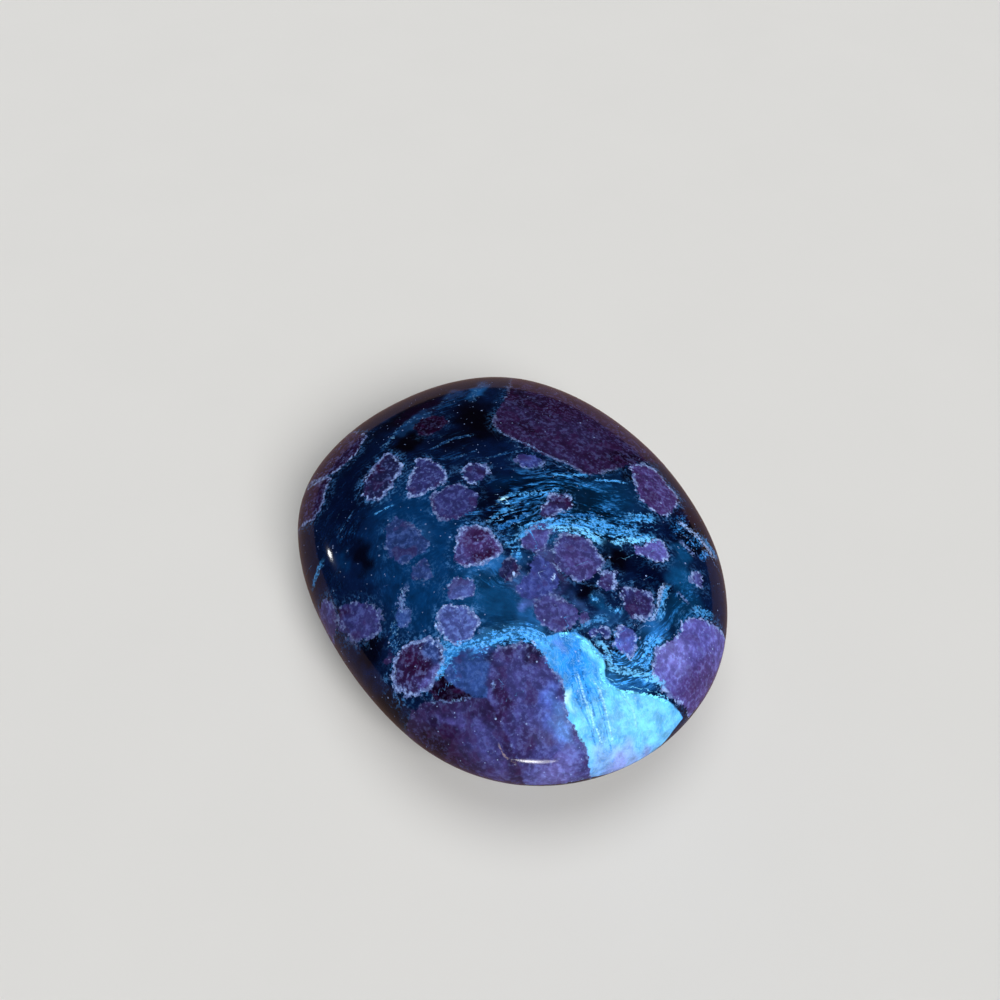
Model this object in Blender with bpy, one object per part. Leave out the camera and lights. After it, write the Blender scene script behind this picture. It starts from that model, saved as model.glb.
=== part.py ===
"""A palm stone: a flattened pebble of garnet rock, tumbled and polished all round.

It is one solid. Its outline is a rounded oval, a little lopsided, its two faces are softly
domed, and it rests on a small flat spot under its middle. +X runs along its longest way,
+Z up through its thickness, and the origin is under its middle, on the surface it rests on.
"""

import math

import bmesh
import bpy

NAME = "palm_stone"

# Driving dimensions, in metres.
LENGTH = 0.070
WIDTH = 0.0575
THICKNESS = 0.024
FOOT_LENGTH = 0.015

# The share of the thickness that lies under the widest line.
UNDERSIDE_SHARE = 0.48

# How far the faces are flatter, and the edge rounder, than an ellipsoid's: 0 is an ellipsoid.
FLATTENING = 0.15

# How the outline leaves a true oval, as shares of half the length. The real part of each is
# seen along X and the imaginary part along Y: three, four and five broad, shallow corners.
THREE_CORNERS = complex(0.010, 0.003)
FOUR_CORNERS = complex(-0.0135, -0.0135)
FIVE_CORNERS = complex(0.0, 0.005)

# Squares along each side of the cube that the pebble is blown up from.
GRID = 20


def clear_scene():
    for obj in list(bpy.data.objects):
        bpy.data.objects.remove(obj, do_unlink=True)


def polished_stone():
    """Dark blue-black rock with plum garnets, taken as one colour, with a glossy polish."""
    material = bpy.data.materials.new("polished_garnet_rock")
    material.use_nodes = True
    shader = material.node_tree.nodes["Principled BSDF"]
    shader.inputs["Base Color"].default_value = (0.030, 0.035, 0.075, 1.0)
    shader.inputs["Roughness"].default_value = 0.10
    shader.inputs["Metallic"].default_value = 0.0
    return material


def cube_of_squares():
    """A cube from -1 to 1, with each side cut into GRID by GRID squares."""
    mesh = bmesh.new()
    bmesh.ops.create_cube(mesh, size=2.0)
    bmesh.ops.subdivide_edges(mesh, edges=mesh.edges[:], cuts=GRID - 1, use_grid_fill=True)
    return mesh


def on_sphere(point):
    """A point of the cube, sent to the unit sphere so that the squares stay nearly even."""
    for axis in range(3):
        point[axis] = math.tan(point[axis] * math.pi / 4)
    return point.normalized()


def on_dome(direction):
    """A point of the unit sphere, pushed out to the flattened dome: z^2 + (1-f) r^2 + f r^4 = 1."""
    radius_squared = direction.x**2 + direction.y**2
    square = direction.z**2 + (1 - FLATTENING) * radius_squared
    fourth = FLATTENING * radius_squared**2
    # The same root as the usual one, in the form that also holds where the fourth power is zero.
    return direction * math.sqrt(2 / (square + math.sqrt(square**2 + 4 * fourth)))


def on_pebble(dome):
    """A point of the dome, stretched to the stone's size and given its lopsided outline."""
    mirrored = complex(dome.x, -dome.y)
    corners = THREE_CORNERS * mirrored**2 + FOUR_CORNERS * mirrored**3 + FIVE_CORNERS * mirrored**4
    share = UNDERSIDE_SHARE if dome.z < 0 else 1 - UNDERSIDE_SHARE
    return (
        LENGTH / 2 * (dome.x + corners.real),
        WIDTH / 2 * dome.y + LENGTH / 2 * corners.imag,
        THICKNESS * share * dome.z,
    )


def cut_foot(mesh):
    """Cuts the flat spot that the stone rests on, FOOT_LENGTH long."""
    reach = FOOT_LENGTH / LENGTH
    depth = math.sqrt(1 - (1 - FLATTENING) * reach**2 - FLATTENING * reach**4)
    height = -THICKNESS * UNDERSIDE_SHARE * depth
    bmesh.ops.bisect_plane(
        mesh,
        geom=mesh.verts[:] + mesh.edges[:] + mesh.faces[:],
        plane_co=(0, 0, height),
        plane_no=(0, 0, -1),
        clear_outer=True,
    )
    rim = [edge for edge in mesh.edges if edge.is_boundary]
    bmesh.ops.edgeloop_fill(mesh, edges=rim)


def middle(values):
    return (min(values) + max(values)) / 2


def stand_on_origin(mesh):
    """Moves the stone so that the origin is under its middle, level with its foot."""
    offset = (
        middle([vertex.co.x for vertex in mesh.verts]),
        middle([vertex.co.y for vertex in mesh.verts]),
        min(vertex.co.z for vertex in mesh.verts),
    )
    bmesh.ops.translate(mesh, verts=mesh.verts[:], vec=[-value for value in offset])


def palm_stone():
    """The whole stone, as one object."""
    mesh = cube_of_squares()
    for vertex in mesh.verts:
        vertex.co = on_pebble(on_dome(on_sphere(vertex.co)))
    cut_foot(mesh)
    stand_on_origin(mesh)
    bmesh.ops.recalc_face_normals(mesh, faces=mesh.faces[:])
    data = bpy.data.meshes.new(NAME)
    mesh.to_mesh(data)
    mesh.free()
    data.materials.append(polished_stone())
    data.shade_smooth()
    return bpy.data.objects.new(NAME, data)


def main():
    clear_scene()
    collection = bpy.data.collections.new("polished_garnet_palm_stone")
    bpy.context.scene.collection.children.link(collection)
    collection.objects.link(palm_stone())


main()
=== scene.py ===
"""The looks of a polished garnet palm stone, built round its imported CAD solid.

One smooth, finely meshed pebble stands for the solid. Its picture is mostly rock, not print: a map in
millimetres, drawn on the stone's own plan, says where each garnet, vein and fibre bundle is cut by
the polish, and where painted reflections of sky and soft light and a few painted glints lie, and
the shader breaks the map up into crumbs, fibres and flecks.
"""

import math
from collections import namedtuple

import bmesh
import bpy
import numpy as np
from mathutils import Euler, Matrix, Vector


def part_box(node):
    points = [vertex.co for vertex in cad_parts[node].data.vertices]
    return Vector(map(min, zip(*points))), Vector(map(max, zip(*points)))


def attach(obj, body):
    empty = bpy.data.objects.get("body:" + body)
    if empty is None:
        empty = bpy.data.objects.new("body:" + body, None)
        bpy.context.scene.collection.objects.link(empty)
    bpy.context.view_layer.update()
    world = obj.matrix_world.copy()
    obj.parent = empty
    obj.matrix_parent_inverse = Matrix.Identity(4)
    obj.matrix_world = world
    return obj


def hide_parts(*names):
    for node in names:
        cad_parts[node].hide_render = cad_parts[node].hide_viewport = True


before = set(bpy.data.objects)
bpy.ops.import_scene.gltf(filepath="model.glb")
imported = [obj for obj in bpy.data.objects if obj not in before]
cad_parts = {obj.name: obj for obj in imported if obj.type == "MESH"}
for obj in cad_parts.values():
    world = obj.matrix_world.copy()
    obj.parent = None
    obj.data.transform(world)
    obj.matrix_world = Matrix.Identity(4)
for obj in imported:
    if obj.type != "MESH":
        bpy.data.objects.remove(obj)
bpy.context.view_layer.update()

NODE = "palm_stone"
MM = 0.001

# The pebble's shape, as in the CAD. Sizes are in millimetres before they are fitted to its box.

HALF_LENGTH = 35.0
HALF_WIDTH = 28.75
THICKNESS = 24.0
HALF_FOOT = 7.5
UNDERSIDE_SHARE = 0.48
FLATTENING = 0.15
THREE_CORNERS = complex(0.010, 0.003)
FOUR_CORNERS = complex(-0.0135, -0.0135)
FIVE_CORNERS = complex(0.0, 0.005)
GRID = 128

# The polish isn't perfect: broad, shallow swells, and garnets that stand a hair proud.
SWELL_HEIGHT = 0.03
SWELL_LENGTH = 13.0
SWELL_WAVES = 7
PROUD_HEIGHT = 0.02

# Colours, as they look on a screen.

TONES = {
    "black": "#020108",
    "ink": "#01041c",
    "navy": "#041232",
    "teal": "#042c58",
    "teal_lit": "#0a406e",
    "steel": "#163f70",
    "blue": "#2267ae",
    "cyan": "#3c8cd2",
    "sky": "#4096e6",
    "ice": "#66b8f2",
    "frost": "#96d2f6",
    "cream": "#a8dcf0",
    "lens": "#2a1c40",
    "wine": "#290e32",
    "dark_wine": "#12041c",
    "plum": "#2c284f",
    "dusk": "#2f386c",
    "mauve": "#3e467e",
    "rose": "#463c72",
    "haze": "#264274",
    "slate": "#2c4f88",
    "lilac": "#585fa8",
    "pale_lilac": "#7886cc",
    "rim": "#56699f",
    "rim_lit": "#8ea8dc",
    "tan": "#8c7c80",
    "aqua": "#6cd0f4",
    "azure": "#2280dc",
    "shade": "#20284f",
    "smoke": "#435a96",
    "dusk_lit": "#364888",
    "periwinkle": "#4a68b8",
}

# How much the base colours are raised, because the studio's light is softer than full light.
LIFT = 1.4

# The map of the stone's face, in millimetres from the middle, +X along the stone.

# A garnet, or another rounded grain: its colour, how pale its crumbly rim is, how far down into
# the stone it reaches, and its outline.
Grain = namedtuple("Grain", "tint rim reach outline")

GRAINS = [Grain(*row) for row in (
    ("lens", 0.25, 10, (
        (-16.5, 4.2), (-13.5, 3.7), (-10, 5.2), (-6.5, 7.4), (-3.5, 9.8), (-0.9, 12.4), (-1.6, 18),
        (-2.6, 22), (-4.5, 27.5), (-14, 27), (-26, 20), (-29, 13.5), (-25, 10.5), (-20.5, 7.6))),
    ("wine", 0.1, 4, (
        (-20.9, -3.2), (-20, -2.2), (-18.5, -2.4), (-17.5, -3.6), (-17, -5), (-17.6, -6.6), (-19, -7),
        (-20.6, -6.3), (-21.2, -4.8))),
    ("shade", 0.85, 5, (
        (-16.5, -12), (-14, -11.3), (-12.6, -11.4), (-11.4, -12.6), (-9.9, -14), (-8.8, -15.8),
        (-9.3, -17.2), (-10.8, -17.6), (-12.8, -17), (-14.4, -15.6), (-15.8, -13.8))),
    ("dusk", 0.6, 4, (
        (-12.9, -8.8), (-11.4, -7.2), (-9.5, -6.5), (-7.8, -6.6), (-6.6, -8), (-6.3, -10), (-6.4, -11.8),
        (-7.4, -12.4), (-9, -11.9), (-10.6, -10.6), (-12, -9.6))),
    ("dusk", 0.5, 3, (
        (-8.4, -2.5), (-7.6, -1.4), (-6.4, -1), (-5.2, -2), (-4.9, -3.5), (-5.3, -4.5), (-6.8, -4.6),
        (-8, -3.9))),
    ("dusk", 0.3, 5, (
        (-5.7, -5.5), (-4.2, -4.8), (-2.6, -4.2), (-1, -4.8), (-0.1, -6.8), (-0.2, -8.8), (-1.2, -10),
        (-3.3, -10.4), (-5.2, -9.8), (-5.8, -7.6))),
    ("plum", 0.65, 4, (
        (1.2, 6.2), (2.2, 7.2), (3.6, 7), (4.1, 5.6), (4.1, 4.4), (4.6, 2.9), (3.8, 2.2), (2.6, 2.6),
        (1.8, 4), (0.9, 5))),
    ("rose", 1.0, 5, (
        (2.4, -5.8), (4, -4.9), (6.7, -4.7), (7.5, -5.6), (7.7, -8.2), (7.1, -10.2), (5.8, -10.9),
        (4.4, -10.2), (2.4, -9), (1.5, -7.8), (1.7, -6.6))),
    ("haze", 0.2, 4, (
        (-4.2, -15), (-2.2, -13.8), (0, -13.2), (1.6, -12.8), (2.7, -14), (2.8, -16.3), (2, -17.5),
        (-0.5, -17.9), (-2.8, -17.2), (-4, -16.4))),
    ("haze", 0.15, 3, (
        (3.6, -14.2), (5, -14), (6.5, -14.3), (6.7, -15), (5.8, -16.2), (4.9, -16.6), (4, -15.6))),
    ("smoke", 0.7, 4, (
        (11.7, -12.8), (12.8, -11.6), (14.6, -11.2), (15.7, -11.9), (16.3, -13.4), (15.9, -15),
        (14.4, -15.8), (12.7, -15.9), (11.4, -15), (11, -14))),
    ("smoke", 0.35, 4, (
        (8.2, -11.8), (9, -10.3), (10.6, -10), (11.3, -11), (11, -12.4), (10.2, -13.6), (8.9, -13))),
    ("mauve", 0.4, 5, (
        (8.3, 5.2), (9.6, 6.4), (11.5, 6.8), (13.3, 6.6), (14.3, 5), (14.9, 3.6), (14, 1.8), (12.5, 0.9),
        (11, 0.9), (9.8, 1.4), (8.3, 2.2), (7.6, 3.6))),
    ("mauve", 0.35, 3, (
        (5, 2.4), (6.2, 2.7), (7.2, 1.8), (8.2, 1.2), (9, 0), (8.6, -1.3), (7.3, -2), (5.9, -1.2),
        (5.1, 0.3))),
    ("shade", 0.25, 3, (
        (8.5, -4.1), (9.2, -3.6), (10.4, -3.9), (11.3, -4.6), (11.2, -6), (10.2, -6.6), (9.2, -6),
        (8.6, -5.2))),
    ("mauve", 0.6, 3, ((14.6, 7.3), (15.6, 7.4), (16.9, 6.4), (17, 5.2), (15.8, 4.6), (14.9, 5.4))),
    ("dusk_lit", 0.15, 4, (
        (9.6, -0.6), (11.5, 0.2), (13.8, 0.1), (14.8, -1.5), (15, -3.3), (14.6, -5), (13, -5.3),
        (11.8, -4.3), (11.3, -2.8), (10, -2))),
    ("mauve", 0.25, 4, (
        (15.6, -1.5), (16.8, -0.2), (18.4, 0.6), (19.8, -0.4), (19.9, -2.3), (19, -4), (17, -4.6),
        (15.5, -4), (15.2, -2.6))),
    ("mauve", 0.15, 2, ((18.6, 1.3), (19.6, 1.5), (20.1, 0.8), (19.4, 0.1), (18.7, 0.6))),
    ("dusk", 0.4, 4, (
        (17.8, 8.7), (18.3, 10), (19.6, 10.8), (21, 10), (21.7, 9), (21.5, 7.6), (20.8, 6.3), (19.3, 6.6),
        (17.9, 7), (17.1, 7.4))),
    ("rose", 0.65, 5, (
        (-1.9, 21), (-1.5, 18.6), (0, 18.3), (2.2, 17.6), (4, 17), (5.5, 17.2), (7.3, 18), (8, 19.2),
        (7, 20.8), (5.9, 22.7), (4.5, 23.5), (2, 23.1), (0, 23), (-1.2, 22.3))),
    ("lilac", 0.6, 3, (
        (11.6, 15.4), (12.2, 13.2), (12, 12), (13.2, 11.7), (14, 13), (15, 14.2), (14.6, 15.5),
        (13.5, 16.2), (12.3, 16.2))),
    ("mauve", 0.4, 2, ((16.8, 19.3), (17.2, 18.2), (18.2, 17.6), (19, 18.3), (18.8, 19.6), (17.8, 20.1))),
    ("lilac", 0.5, 8, (
        (24.3, 19.5), (23, 16), (23, 13.7), (24.8, 11.8), (25.1, 9.6), (25.5, 8.2), (27, 6.9),
        (28.8, 6.5), (30.5, 7.5), (31.8, 9.5), (33, 11.5), (31, 15.5), (28.5, 19), (26, 21))),
    ("dusk_lit", 0.5, 3, (
        (20.9, 1.8), (21.3, 2.8), (22.3, 3.2), (23, 2.2), (23.6, 0.8), (22.8, -0.2), (21.8, 0.1),
        (21, 0.8))),
    ("periwinkle", 0.5, 3, (
        (21.9, 5), (22.6, 6.3), (23.8, 6.2), (25.1, 5.2), (25.8, 3.6), (25.3, 2.3), (24.2, 2.2),
        (23.1, 3.4), (22.2, 3.9))),
    ("plum", 0.85, 5, (
        (13.2, -19.3), (13.8, -17.4), (15.4, -16.5), (17.3, -17), (18.6, -18.6), (19, -20), (18.2, -21.6),
        (17, -22.6), (15.2, -23.1), (13.6, -21.8), (12.9, -20.6))),
    ("plum", 0.0, 2, ((12.3, -22.4), (12.9, -21.9), (13.4, -22.4), (12.9, -23.1))),
    ("slate", 0.1, 5, (
        (17.4, -13.4), (18, -11.9), (18.8, -10.8), (20.2, -11.6), (21.6, -12.6), (23.4, -13.2),
        (22.9, -14.8), (21.8, -15.9), (20.2, -17), (18.6, -17.4), (17.3, -15.8))),
    ("dark_wine", 0.0, 3, (
        (18.4, -17.6), (20.2, -16.6), (22.6, -15), (22.2, -16.8), (21.3, -18.6), (20.2, -19.6),
        (19.2, -19.2))),
    ("mauve", 0.3, 8, (
        (19, -9.5), (19.7, -7.3), (21.2, -5.9), (23.5, -5.4), (26, -4.9), (28, -5.6), (30.5, -5.3),
        (33, -4.9), (36, -5), (35.5, -9), (33.5, -12.4), (31, -13.1), (28, -13.5), (25, -13.8),
        (22.5, -13.7), (20.3, -12.7), (19, -11.2))),
    ("plum", 0.1, 8, (
        (22.6, -14.8), (24.4, -13.1), (28.5, -12.6), (32, -12.2), (33, -15.5), (29.5, -20), (26, -22.5),
        (22.5, -24.5), (20, -22.8), (20.1, -20.4), (21.2, -18.2), (22.2, -16.2))),
    ("dusk", 0.25, 5, (
        (3, -25), (4.8, -23), (6.5, -21.8), (8, -21.7), (9.3, -22.5), (9, -24), (7.8, -25.5),
        (5.5, -26.3), (3.5, -26.4))),
    ("mauve", 0.2, 4, ((0, -27), (2, -26.4), (4, -26.8), (4.4, -28.5), (2, -29.5), (-0.5, -29))),
    ("lens", 0.55, 8, (
        (-27.5, -14.4), (-25, -13.9), (-23, -13.4), (-21.5, -14.5), (-20, -15.8), (-19, -17.8),
        (-18.5, -20), (-19.4, -21.8), (-20.8, -23), (-23, -25), (-29, -20), (-31, -15))),
    ("lens", 0.6, 7, (
        (-18.1, -20.5), (-16.2, -21.6), (-14.5, -22.5), (-13, -24), (-13, -25.3), (-14.3, -26.4),
        (-16, -28), (-20.5, -26), (-20, -23.4), (-19, -21.9))),
    ("slate", 0.15, 2, (
        (8.2, -19.2), (9.2, -18.4), (10.3, -18.6), (10.7, -19.5), (9.9, -20.3), (8.8, -20.1))),
    ("dusk_lit", 0.3, 3, (
        (-7.5, 4.6), (-6.8, 5.8), (-5.3, 6.6), (-4.4, 6), (-4.6, 4.4), (-5.5, 3.4), (-6.8, 3.2))),
)]

# The pale feldspar wedge at the stone's near end, and how far down it reaches. Its lower side is
# tucked under the big garnet beside it.
WEDGE = (
    (19.9, -4.2), (20.1, -2.4), (21, -0.6), (22.6, 0.5), (24.7, 1.1), (26.8, 0.4), (28.2, 1.1),
    (29.1, 2.8), (30.2, 5.4), (31.4, 7.7), (33.5, 9.5), (36, 8), (37, 1), (36.5, -6), (33.5, -6.8),
    (28, -7), (24, -6.8), (21.4, -6.6), (20, -5.6))
WEDGE_REACH = 8.5

# How far the lower ends of the grains and of the wedge rise and fall inside the stone.
FLOOR_WAVE = 2.2

# A soft-edged patch of another colour, a stain or a painted reflection: where, how large along and
# across, and which way it lies.
SoftPatch = namedtuple("SoftPatch", "tint strength x y along across degrees")

# Patches of the rock between the garnets. Most are its own stains; the teal and teal_lit ones are partly
# the rock's own blue and partly a painted reflection of blue sky.
ROCK_STAINS_AND_REFLECTIONS = [SoftPatch(*row) for row in (
    # Teal and teal_lit: partly the rock's own blue, partly a painted reflection of blue sky.
    ("teal", 1.0, 6, -14, 16, 7, 0),
    ("teal", 0.9, -3, -12, 7, 5, 20),
    ("teal_lit", 0.7, 13, -8, 6, 4, 20),
    ("teal_lit", 0.7, 2.6, 9, 8, 6, 80),
    ("teal_lit", 0.7, 7, 5, 8, 4, 75),
    ("ink", 0.6, -14, -20, 14, 5, -30),
    ("black", 1.0, -17.5, 1.6, 6, 4, -10),
    ("black", 1.0, -17, -8.8, 3, 3, 0),
    ("black", 0.9, -24.4, -6, 9, 1.8, -70),
    ("dark_wine", 0.8, -23.6, -4.6, 5, 2.2, -65),
    ("black", 0.8, -13.5, 2.2, 3, 2, 40),
    ("black", 0.8, -14, -3, 2.8, 3, 0),
    ("black", 0.7, -1.5, -2.6, 2, 1.5, 0),
    ("blue", 0.6, -24.5, 5, 2.6, 1.2, -50),
    ("steel", 0.7, -27, 7, 1.6, 1, -50),
    ("haze", 0.7, -25.4, 1.8, 2, 1.4, -50),
    ("steel", 0.6, -21.3, -6.5, 3.5, 1.2, -60),
    ("black", 1.0, 13.2, 8.8, 2.6, 1.8, 20),
    ("ink", 0.9, 17, 12, 4, 2.5, 20),
    ("black", 0.95, 16.2, 2.8, 1.8, 1.6, 0),
    ("dark_wine", 0.9, 8, 23.5, 2.5, 2.5, 0),
    ("black", 0.9, 0.8, 17.6, 1.6, 0.8, 20),
    ("black", 0.8, -1, 15.6, 3, 0.7, 80),
    ("ink", 0.6, 0.4, 14, 2.4, 1.6, 70),
    ("ink", 0.8, -2.9, 8, 5, 2, 60),
    ("ink", 0.5, 5.6, 10.6, 1.8, 1, 70),
    # Teal: partly the rock's own blue, partly a painted reflection of blue sky.
    ("teal", 0.7, -3, 0.4, 2.4, 1.6, 90),
    ("teal", 0.7, -2.9, -23.6, 1.8, 1.1, 0),
    ("black", 0.7, 2.6, 8.8, 1.2, 0.9, 0),
    ("ink", 0.7, 12, 18.8, 3, 2, 0),
    # Teal_lit: partly the rock's own blue, partly a painted reflection of blue sky.
    ("teal_lit", 0.9, 17.6, 16.4, 2.6, 2.2, 0),
    ("teal_lit", 0.8, 14, 18.4, 1.8, 1.4, 0),
    ("ink", 0.7, -0.6, 10.4, 1.8, 0.9, 65),
    # Teal_lit: partly the rock's own blue, partly a painted reflection of blue sky.
    ("teal_lit", 0.8, 21.5, 14, 4, 2, -60),
    ("blue", 0.9, 27, 3.2, 4, 2.2, 70),
    ("sky", 0.7, 26.2, 5, 5, 1.8, 100),
    ("blue", 0.8, 23.8, 8.6, 3.5, 1.6, -50),
    ("teal_lit", 0.7, 18.6, 3.8, 1.6, 1, 10),
    ("steel", 0.7, 20.6, 2.8, 1.4, 3.4, 0),
    ("mauve", 0.8, 9.4, 0, 2.4, 1.5, 0),
    ("plum", 0.8, 12.2, 0.5, 2.6, 1, 0),
    ("dusk", 0.95, 15.2, -2.6, 1.2, 3, 0),
    ("periwinkle", 0.9, 15.1, -5.2, 1, 0.8, 0),
    ("mauve", 0.7, 5.6, 2.6, 1.6, 1.6, 0),
    ("haze", 0.9, 12.4, -4.6, 2.5, 1.2, 0),
    ("haze", 0.8, 17.6, 0.9, 1.6, 0.9, 0),
    ("haze", 0.8, 24.6, 1.6, 1.4, 1, 0),
    ("black", 0.9, 10.5, -24, 2.5, 1.6, 10),
    ("black", 0.9, -1.5, -21, 3, 1.3, 0),
    ("black", 0.9, 17, -24.6, 6, 1.2, 25),
    ("navy", 0.7, -7, -24.5, 7, 2, -10),
    ("blue", 0.7, 8.4, -6.4, 4, 1.1, 80),
    ("steel", 0.7, 0, -12.6, 2, 0.8, 0),
    ("cyan", 0.6, 17.6, -9.4, 4, 1.2, 80),
    ("blue", 0.8, 17.4, -5.6, 2, 1.4, 30),
    ("cyan", 0.7, 20, -5.2, 1.6, 1.2, 30),
    ("blue", 0.9, 16.9, -15.6, 3, 1, 100),
)]

# Soft patches inside the wedge: the feldspar's own blues, and painted reflections of a light at the
# stone's near end, a window's bright spot and a pale haze along the near rim.
WEDGE_STAINS_AND_REFLECTIONS = [SoftPatch(*row) for row in (
    ("azure", 1.0, 23.7, -2.8, 4.6, 2.2, -8),
    ("azure", 0.5, 27.6, -3.4, 2.4, 1, 10),
    ("ice", 1.0, 32, 2.5, 7, 3.4, 75),
    # Painted reflection of a window: this ice patch, the aqua patch at (30.2, -4.9) and the cream spot.
    ("ice", 0.7, 30.4, -4.4, 4, 1.2, 0),
    ("aqua", 0.9, 24, 0.2, 3, 0.7, 10),
    ("aqua", 0.5, 28.6, 0.6, 2.6, 0.9, 60),
    ("aqua", 0.9, 30.2, -4.9, 2, 0.6, 0),
    ("cream", 1.0, 27.3, -5, 1.1, 0.7, 0),
    # Painted reflection: a pale haze along the near rim, these two rows.
    ("rim_lit", 0.6, 34, -1.4, 4, 1.2, 80),
    ("pale_lilac", 0.9, 34.9, 0, 5, 0.9, 90),
    ("cyan", 0.5, 30.1, 0.3, 0.9, 0.5, 40),
    ("lilac", 0.5, 21.6, -3.2, 1, 0.8, 0),
)]

# Soft patches inside the garnets: their own mottling, and at the stone's near end a painted
# reflection of soft light on the big garnet and along the near rim.
GRAIN_STAINS_AND_REFLECTIONS = [SoftPatch(*row) for row in (
    ("dark_wine", 0.6, -20, 10, 7, 3, 10),
    ("wine", 0.7, -16, 15, 6, 3, -30),
    ("plum", 0.7, -10, 14, 5, 3, 30),
    ("plum", 0.6, -15.5, 8.6, 5, 1.6, 20),
    ("dark_wine", 0.8, -3.4, 19.5, 1.4, 5, 0),
    ("plum", 0.6, -6, 9.5, 5, 1.5, 30),
    ("wine", 0.7, -21, 9, 1.6, 1.2, 0),
    ("dark_wine", 0.5, -12, 8, 3, 1, 20),
    ("dark_wine", 0.9, -19.2, -4.8, 3, 3, 0),
    ("wine", 0.85, -14.6, -14.4, 3, 0.8, -45),
    ("wine", 0.5, -6.6, -2.4, 1.2, 0.8, 0),
    ("wine", 0.75, 3.4, -6.4, 2.2, 1.3, 10),
    ("wine", 1.0, 6.8, -7.2, 1, 1.8, 5),
    ("lilac", 0.35, 6.8, 0.2, 2.6, 1.6, -30),
    ("mauve", 0.8, 5.6, -9.6, 2.4, 0.9, 20),
    ("rim", 0.6, 2.4, -8.2, 1.6, 0.7, -40),
    ("wine", 0.6, 2.4, 6, 1.6, 1.3, 0),
    ("mauve", 0.8, 3.5, 3.8, 1, 1.8, 0),
    ("wine", 0.6, 8.7, 5, 1.3, 1, 30),
    ("rose", 0.5, 12, 3.6, 3, 2, 30),
    ("wine", 0.5, 15.9, 5.6, 0.9, 0.9, 0),
    ("wine", 0.4, 3, 18.8, 3, 1.2, 0),
    ("rose", 0.9, 29.8, 12.5, 2.2, 5.5, 20),
    ("pale_lilac", 0.6, 26.4, 10, 2.6, 2.6, 0),
    ("wine", 0.5, 20, 8.3, 1.8, 2.2, 0),
    ("rose", 0.6, 22.6, 5.2, 0.8, 1.2, -30),
    ("lilac", 0.7, 24.6, 3.6, 0.9, 1.4, 30),
    ("dark_wine", 0.35, 21.6, 1.8, 0.8, 1.2, 0),
    ("slate", 0.7, 15.3, -17.4, 2.2, 1.2, 0),
    ("wine", 0.9, 15.5, -20.2, 2.2, 1.6, 10),
    ("lilac", 0.6, 18.1, -19.4, 0.9, 2, 10),
    # Painted reflection of soft light on the big near garnet's right part: these periwinkle and ice
    # patches.
    ("periwinkle", 1.0, 29.2, -7, 4, 1.5, -5),
    ("periwinkle", 0.8, 27.4, -7.2, 2.2, 1.6, 0),
    ("ice", 0.35, 29.4, -6.6, 3, 1.1, -5),
    ("dark_wine", 0.8, 21.2, -7, 1.5, 1.1, 50),
    ("wine", 0.8, 24.4, -12.2, 3.4, 1.2, -8),
    ("dark_wine", 0.8, 19.6, -11.6, 1, 0.9, 0),
    ("wine", 0.6, 20, -9.4, 1.2, 1, 0),
    ("wine", 0.5, 29.4, -11.3, 2.2, 1.4, 0),
    # Painted reflection along the near rim: this rose patch and the pale_lilac one two rows down.
    ("rose", 0.6, 32.4, -8.2, 1.2, 2, 0),
    ("lilac", 0.6, 23.5, -18.2, 0.7, 1.6, -40),
    ("pale_lilac", 0.5, 33, -9.4, 1.3, 3.5, 0),
    ("rose", 0.7, 30.4, -16, 1, 3, 30),
    ("mauve", 0.9, 27, -15.8, 4, 1.6, 20),
    ("dark_wine", 0.8, 24, -21, 4, 1.6, 40),
    ("wine", 0.7, 3.8, -25.3, 1.3, 0.9, 0),
    ("mauve", 0.6, 7.4, -23.6, 1.8, 2, 0),
)]

# Where the rock between the garnets is combed into bright blue fibres.
FIBROUS = [SoftPatch(*row) for row in (
    (None, 0.8, 1.8, 3.6, 12, 6.5, 75),
    (None, 1.0, 7.6, 8.5, 7, 3.4, 70),
    (None, 0.7, 3, -1.6, 4, 3, 90),
    (None, 0.9, 11.5, 22, 3.4, 3.4, 0),
    (None, 0.3, -21, -4, 12, 3, -65),
    (None, 0.3, -13, -4, 6, 4, 90),
    (None, 1.0, 25.8, 5.2, 7, 3.4, 80),
    (None, 0.5, 21.5, 13.5, 6, 2.5, -60),
    (None, 0.25, -9, -18, 9, 3, -40),
    (None, 0.4, 10, -8, 4, 2, 60),
    (None, 0.5, 18, -8, 6, 3, 80),
)]

# A drawn-out bundle of fibres, a crumbly margin, a thin vein or a small painted glint: its colour,
# how much it covers, its half-width, and the points that it runs through.
Strand = namedtuple("Strand", "tint strength width points")

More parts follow.
